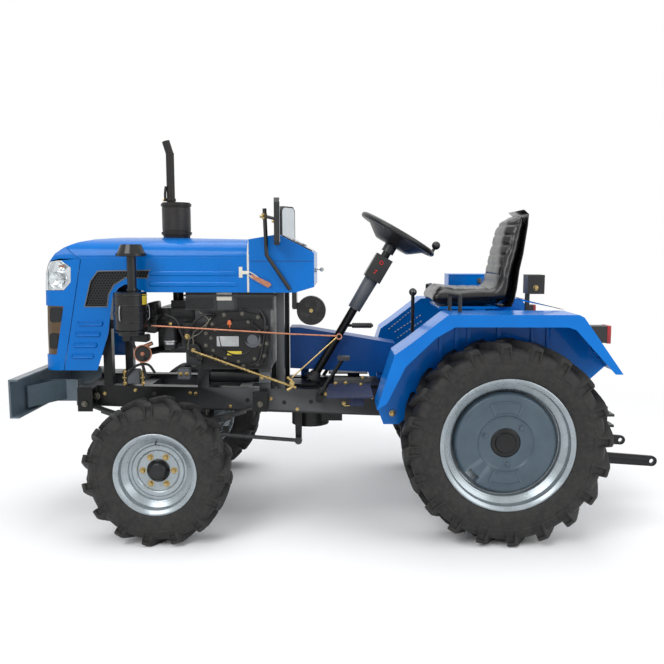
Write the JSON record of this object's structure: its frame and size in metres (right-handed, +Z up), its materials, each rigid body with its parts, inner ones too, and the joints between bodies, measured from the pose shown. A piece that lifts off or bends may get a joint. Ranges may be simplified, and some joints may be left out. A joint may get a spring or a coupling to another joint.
{
  "type": "compact farm tractor",
  "caption": "Compact four-wheel farm tractor with an open driver's seat, upright exhaust, lugged tyres and rear lift links.",
  "frame": {"origin": "on the ground under the middle of the tractor's length and width", "axes": "+X forward, +Y to the driver's left, +Z up; the wheels' axles lie along Y"},
  "size_m": [2.8559, 1.23, 1.7302],
  "materials": {
    "frame_black": "satin",
    "bumper_grey": "satin",
    "engine_black": "satin",
    "body_blue": "gloss",
    "fender_blue": "gloss",
    "cover_blue": "gloss",
    "grille_black": "matte",
    "lamp_clear": "gloss",
    "lamp_red": "gloss",
    "panel_black": "satin",
    "exhaust_black": "matte",
    "mirror_black": "satin",
    "column_black": "satin",
    "wheel_grip": "satin",
    "cast_black": "matte",
    "spring_steel": "satin",
    "tyre_rubber": "matte",
    "rim_silver": "satin",
    "weight_grey": "satin",
    "seat_vinyl": "gloss",
    "plate_navy": "gloss",
    "zinc_yellow": "satin",
    "bright_steel": "satin"
  },
  "bodies": {
    "chassis": {"chassis_frame": "frame_black", "front_bumper": "bumper_grey", "front_axle": "cast_black", "leaf_springs": "spring_steel", "engine": "engine_black", "hood": "body_blue", "nose_panel": "body_blue", "grilles": "grille_black", "headlamps": "lamp_clear", "cowl": "body_blue", "instrument_panel": "panel_black", "silencer": "exhaust_black", "air_cleaner": "exhaust_black", "mirrors": "mirror_black", "steering_column": "column_black", "transmission": "cast_black", "drawbar": "frame_black", "belt_cover": "cover_blue", "foot_plates": "plate_navy", "fender_left": "fender_blue", "fender_right": "fender_blue", "seat": "seat_vinyl", "seat_support": "body_blue", "toolbox": "body_blue", "rear_lamps": "lamp_red", "controls": "column_black", "horns": "exhaust_black", "control_rods": "zinc_yellow"},
    "knuckle_left": {"knuckle_left": "cast_black"},
    "front_wheel_left": {"front_wheel_left": "rim_silver", "front_tyre_left": "tyre_rubber"},
    "rear_wheel_left": {"rear_wheel_left": "rim_silver", "rear_tyre_left": "tyre_rubber", "wheel_weight_left": "weight_grey"},
    "knuckle_right": {"knuckle_right": "cast_black"},
    "front_wheel_right": {"front_wheel_right": "rim_silver", "front_tyre_right": "tyre_rubber"},
    "rear_wheel_right": {"rear_wheel_right": "rim_silver", "rear_tyre_right": "tyre_rubber", "wheel_weight_right": "weight_grey"},
    "tie_rod": {"tie_rod": "spring_steel"},
    "pitman_arm": {"pitman_arm": "cast_black"},
    "drag_link": {"drag_link": "spring_steel"},
    "steering_wheel": {"steering_wheel": "wheel_grip"},
    "toolbox_lid": {"toolbox_lid": "body_blue"},
    "pto_shaft": {"pto_shaft": "bright_steel"},
    "lift_arms": {"lift_arms": "cast_black"},
    "lift_rods": {"lift_rods": "frame_black"},
    "lower_links": {"lower_links": "frame_black"}
  },
  "joints": [
    {"name": "steer_left", "type": "hinge", "parent": "chassis", "child": "knuckle_left", "pos_m": [0.798, 0.418, 0.306], "axis": [0, 0, 1], "range_deg": [-35, 35]},
    {"name": "front_wheel_left_spin", "type": "hinge", "parent": "knuckle_left", "child": "front_wheel_left", "pos_m": [0.798, 0.535, 0.306], "axis": [0, 1, 0], "continuous": true},
    {"name": "rear_wheel_left_spin", "type": "hinge", "parent": "chassis", "child": "rear_wheel_left", "pos_m": [-0.642, 0.507, 0.427], "axis": [0, 1, 0], "continuous": true},
    {"name": "steer_right", "type": "hinge", "parent": "chassis", "child": "knuckle_right", "pos_m": [0.798, -0.418, 0.306], "axis": [0, 0, 1], "range_deg": [-35, 35]},
    {"name": "front_wheel_right_spin", "type": "hinge", "parent": "knuckle_right", "child": "front_wheel_right", "pos_m": [0.798, -0.535, 0.306], "axis": [0, 1, 0], "continuous": true},
    {"name": "rear_wheel_right_spin", "type": "hinge", "parent": "chassis", "child": "rear_wheel_right", "pos_m": [-0.642, -0.507, 0.427], "axis": [0, 1, 0], "continuous": true},
    {"name": "tie_rod_joint", "type": "hinge", "parent": "knuckle_left", "child": "tie_rod", "pos_m": [0.668, 0.418, 0.235], "axis": [0, 0, 1], "range_deg": [-35, 35]},
    {"name": "drop_arm_swing", "type": "hinge", "parent": "chassis", "child": "pitman_arm", "pos_m": [0.236, 0.114, 0.521], "axis": [0, 1, 0], "range_deg": [-14.2, 14.2]},
    {"name": "drag_link_joint", "type": "hinge", "parent": "pitman_arm", "child": "drag_link", "pos_m": [0.236, 0.142, 0.328], "axis": [0, 1, 0], "range_deg": [-14.2, 14.2]},
    {"name": "steering_wheel_turn", "type": "hinge", "parent": "chassis", "child": "steering_wheel", "pos_m": [-0.19762, 0, 1.23172], "axis": [-0.5045, 0, 0.8634], "range_deg": [-420, 420]},
    {"name": "toolbox_lid_hinge", "type": "hinge", "parent": "chassis", "child": "toolbox_lid", "pos_m": [-0.674, -0.562, 1.0846], "axis": [1, 0, 0], "range_deg": [0, 100]},
    {"name": "pto_spin", "type": "hinge", "parent": "chassis", "child": "pto_shaft", "pos_m": [-0.9, 0, 0.5], "axis": [1, 0, 0], "continuous": true},
    {"name": "lift_arms_raise", "type": "hinge", "parent": "chassis", "child": "lift_arms", "pos_m": [-0.79, 0, 0.66], "axis": [0, 1, 0], "range_deg": [-8, 30]},
    {"name": "lift_rods_swing", "type": "hinge", "parent": "lift_arms", "child": "lift_rods", "pos_m": [-1.02, 0, 0.63], "axis": [0, 1, 0], "range_deg": [-31, 9]},
    {"name": "lower_links_raise", "type": "hinge", "parent": "chassis", "child": "lower_links", "pos_m": [-0.77, 0, 0.292], "axis": [0, 1, 0], "range_deg": [-8, 28]}
  ],
  "couplings": [
    {"joint": "steer_right", "follows": "steer_left", "ratio": 1},
    {"joint": "tie_rod_joint", "follows": "steer_left", "ratio": -1},
    {"joint": "drop_arm_swing", "follows": "steer_left", "ratio": -0.393},
    {"joint": "drag_link_joint", "follows": "steer_left", "ratio": 0.393},
    {"joint": "steering_wheel_turn", "follows": "steer_left", "ratio": 12},
    {"joint": "lift_rods_swing", "follows": "lift_arms_raise", "ratio": -1},
    {"joint": "lower_links_raise", "follows": "lift_arms_raise", "ratio": 0.92}
  ]
}
